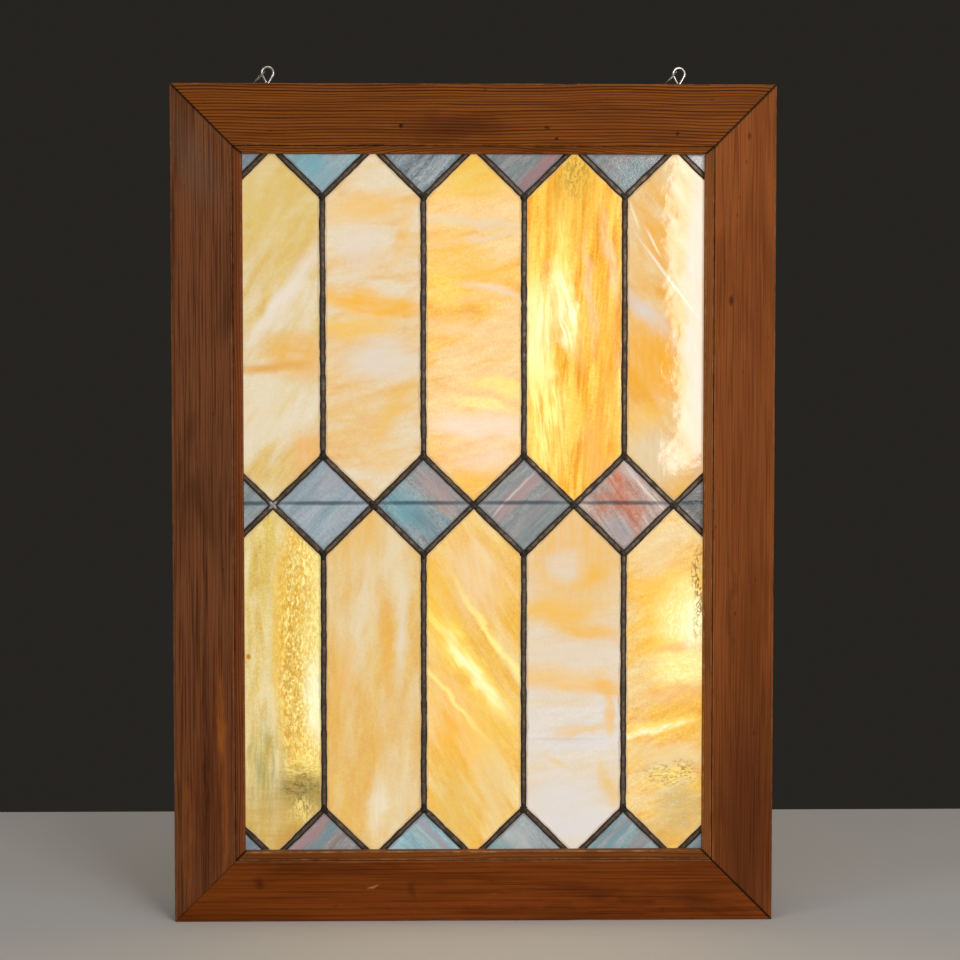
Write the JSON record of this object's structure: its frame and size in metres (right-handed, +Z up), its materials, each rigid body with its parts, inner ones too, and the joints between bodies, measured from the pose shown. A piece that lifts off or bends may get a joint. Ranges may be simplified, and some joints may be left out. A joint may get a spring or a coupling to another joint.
{
  "type": "stained glass window",
  "caption": "Leaded panel of amber and blue opalescent glass in a mitred wooden sash frame, held by loose stops and hung from screw eyes.",
  "frame": {"origin": "midway between the holes of the two screw eyes, 13 mm above the top of the frame", "axes": "+Z up, +X to the right seen from the front, +Y towards the back of the window"},
  "size_m": [0.632, 0.035, 0.9002],
  "materials": {
    "frame_wood": "old oiled fir, open grain, satin with worn arrises",
    "stop_wood": "old oiled fir strips, satin",
    "lead": "dull dark patina, scuffed bright along the crown, solder at the joints",
    "bar_steel": "dark oxidised flat bar",
    "eye_zinc": "bright zinc plate",
    "ring_wire": "dull bright steel wire",
    "amber_pane_upper_1": "streaky opalescent sheet glass",
    "amber_pane_upper_2": "streaky opalescent sheet glass",
    "amber_pane_upper_3": "streaky opalescent sheet glass",
    "amber_pane_upper_4": "streaky opalescent sheet glass",
    "amber_pane_upper_5": "streaky opalescent sheet glass",
    "amber_pane_lower_1": "streaky opalescent sheet glass",
    "amber_pane_lower_2": "streaky opalescent sheet glass",
    "amber_pane_lower_3": "streaky opalescent sheet glass",
    "amber_pane_lower_4": "streaky opalescent sheet glass",
    "amber_pane_lower_5": "streaky opalescent sheet glass",
    "blue_pane_top_1": "streaky opalescent sheet glass",
    "blue_pane_top_2": "streaky opalescent sheet glass",
    "blue_pane_top_3": "streaky opalescent sheet glass",
    "blue_pane_top_4": "streaky opalescent sheet glass",
    "blue_pane_top_5": "streaky opalescent sheet glass",
    "blue_pane_top_6": "streaky opalescent sheet glass",
    "blue_pane_middle_1": "streaky opalescent sheet glass",
    "blue_pane_middle_2": "streaky opalescent sheet glass",
    "blue_pane_middle_3": "streaky opalescent sheet glass",
    "blue_pane_middle_4": "streaky opalescent sheet glass",
    "blue_pane_middle_5": "streaky opalescent sheet glass",
    "blue_pane_middle_6": "streaky opalescent sheet glass",
    "blue_pane_bottom_1": "streaky opalescent sheet glass",
    "blue_pane_bottom_2": "streaky opalescent sheet glass",
    "blue_pane_bottom_3": "streaky opalescent sheet glass",
    "blue_pane_bottom_4": "streaky opalescent sheet glass",
    "blue_pane_bottom_5": "streaky opalescent sheet glass",
    "blue_pane_bottom_6": "streaky opalescent sheet glass"
  },
  "bodies": {
    "root": {"top_rail": "frame_wood", "bottom_rail": "frame_wood", "left_stile": "frame_wood", "right_stile": "frame_wood", "top_stop": "stop_wood", "bottom_stop": "stop_wood", "left_stop": "stop_wood", "right_stop": "stop_wood", "lead_came": "lead", "saddle_bar": "bar_steel", "screw_eye_left": "eye_zinc", "screw_eye_right": "eye_zinc", "hanging_ring_left": "ring_wire", "hanging_ring_right": "ring_wire", "amber_pane_upper_1": "amber_pane_upper_1", "amber_pane_upper_2": "amber_pane_upper_2", "amber_pane_upper_3": "amber_pane_upper_3", "amber_pane_upper_4": "amber_pane_upper_4", "amber_pane_upper_5": "amber_pane_upper_5", "amber_pane_lower_1": "amber_pane_lower_1", "amber_pane_lower_2": "amber_pane_lower_2", "amber_pane_lower_3": "amber_pane_lower_3", "amber_pane_lower_4": "amber_pane_lower_4", "amber_pane_lower_5": "amber_pane_lower_5", "blue_pane_top_1": "blue_pane_top_1", "blue_pane_top_2": "blue_pane_top_2", "blue_pane_top_3": "blue_pane_top_3", "blue_pane_top_4": "blue_pane_top_4", "blue_pane_top_5": "blue_pane_top_5", "blue_pane_top_6": "blue_pane_top_6", "blue_pane_middle_1": "blue_pane_middle_1", "blue_pane_middle_2": "blue_pane_middle_2", "blue_pane_middle_3": "blue_pane_middle_3", "blue_pane_middle_4": "blue_pane_middle_4", "blue_pane_middle_5": "blue_pane_middle_5", "blue_pane_middle_6": "blue_pane_middle_6", "blue_pane_bottom_1": "blue_pane_bottom_1", "blue_pane_bottom_2": "blue_pane_bottom_2", "blue_pane_bottom_3": "blue_pane_bottom_3", "blue_pane_bottom_4": "blue_pane_bottom_4", "blue_pane_bottom_5": "blue_pane_bottom_5", "blue_pane_bottom_6": "blue_pane_bottom_6"}
  },
  "joints": []
}
